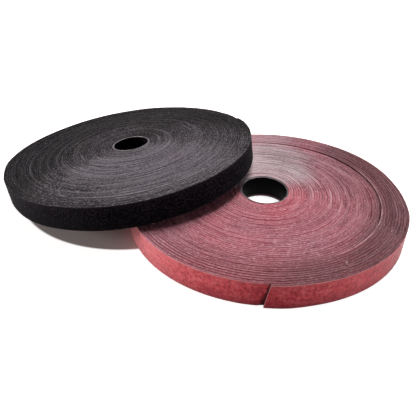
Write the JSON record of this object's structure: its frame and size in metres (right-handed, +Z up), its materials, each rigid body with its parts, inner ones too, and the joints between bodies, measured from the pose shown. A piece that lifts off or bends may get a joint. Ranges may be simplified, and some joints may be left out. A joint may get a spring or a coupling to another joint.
{
  "type": "hook and loop tape roll",
  "caption": "Pair of wound hook and loop tape rolls on plain tube cores, one lying flat and one leaning on it, with free ends that peel off.",
  "frame": {"origin": "middle of the bounding box at the surface that the pair lies on", "axes": "+Z up from the surface; +X along the longer side of the pair, from the leaning roll to the flat one; the picture looks along +Y"},
  "size_m": [0.2118, 0.169, 0.0321],
  "materials": {
    "red_tape": "matte woven nylon with a fine nap, coral red on the faces and mauve on the cut edges",
    "red_hook_sheet": "matte, covered in fine hooks",
    "black_tape": "matte woven nylon with a fine nap",
    "black_hook_sheet": "matte, covered in fine hooks",
    "core_plastic": "smooth, semi-gloss moulded plastic"
  },
  "bodies": {
    "red_roll": {"red_core": "core_plastic", "red_tape_winding": "red_tape"},
    "red_end_1": {"red_end_loop_1": "red_tape", "red_end_hook_1": "red_hook_sheet"},
    "red_end_2": {"red_end_loop_2": "red_tape", "red_end_hook_2": "red_hook_sheet"},
    "red_end_3": {"red_end_loop_3": "red_tape", "red_end_hook_3": "red_hook_sheet"},
    "red_end_4": {"red_end_loop_4": "red_tape", "red_end_hook_4": "red_hook_sheet"},
    "black_roll": {"black_core": "core_plastic", "black_tape_winding": "black_tape"},
    "black_end_1": {"black_end_loop_1": "black_tape", "black_end_hook_1": "black_hook_sheet"},
    "black_end_2": {"black_end_loop_2": "black_tape", "black_end_hook_2": "black_hook_sheet"},
    "black_end_3": {"black_end_loop_3": "black_tape", "black_end_hook_3": "black_hook_sheet"},
    "black_end_4": {"black_end_loop_4": "black_tape", "black_end_hook_4": "black_hook_sheet"}
  },
  "joints": [
    {"name": "black_roll_lift", "type": "slide", "parent": "red_roll", "child": "black_roll", "axis": [0, 0, 1], "range_m": [0, 0.05]},
    {"name": "red_peel_1", "type": "hinge", "parent": "red_roll", "child": "red_end_1", "pos_m": [0.08084, -0.06774, 0.00635], "axis": [0, 0, 1], "range_deg": [0, 20]},
    {"name": "red_peel_2", "type": "hinge", "parent": "red_end_1", "child": "red_end_2", "pos_m": [0.0693, -0.07567, 0.00635], "axis": [0, 0, 1], "range_deg": [0, 20]},
    {"name": "red_peel_3", "type": "hinge", "parent": "red_end_2", "child": "red_end_3", "pos_m": [0.05649, -0.08118, 0.00635], "axis": [0, 0, 1], "range_deg": [0, 20]},
    {"name": "red_peel_4", "type": "hinge", "parent": "red_end_3", "child": "red_end_4", "pos_m": [0.04285, -0.08408, 0.00635], "axis": [0, 0, 1], "range_deg": [0, 20]},
    {"name": "black_peel_1", "type": "hinge", "parent": "black_roll", "child": "black_end_1", "pos_m": [0.02488, -0.00818, 0.0258], "axis": [0.1324, -0.0548, -0.9897], "range_deg": [0, 20]},
    {"name": "black_peel_2", "type": "hinge", "parent": "black_end_1", "child": "black_end_2", "pos_m": [0.02888, 0.00523, 0.02559], "axis": [0.1324, -0.0548, -0.9897], "range_deg": [0, 20]},
    {"name": "black_peel_3", "type": "hinge", "parent": "black_end_2", "child": "black_end_3", "pos_m": [0.0301, 0.0191, 0.02498], "axis": [0.1324, -0.0548, -0.9897], "range_deg": [0, 20]},
    {"name": "black_peel_4", "type": "hinge", "parent": "black_end_3", "child": "black_end_4", "pos_m": [0.02853, 0.03293, 0.024], "axis": [0.1324, -0.0548, -0.9897], "range_deg": [0, 20]}
  ],
  "couplings": [
    {"joint": "red_peel_2", "follows": "red_peel_1", "ratio": 1},
    {"joint": "red_peel_3", "follows": "red_peel_1", "ratio": 1},
    {"joint": "red_peel_4", "follows": "red_peel_1", "ratio": 1},
    {"joint": "black_peel_2", "follows": "black_peel_1", "ratio": 1},
    {"joint": "black_peel_3", "follows": "black_peel_1", "ratio": 1},
    {"joint": "black_peel_4", "follows": "black_peel_1", "ratio": 1}
  ]
}
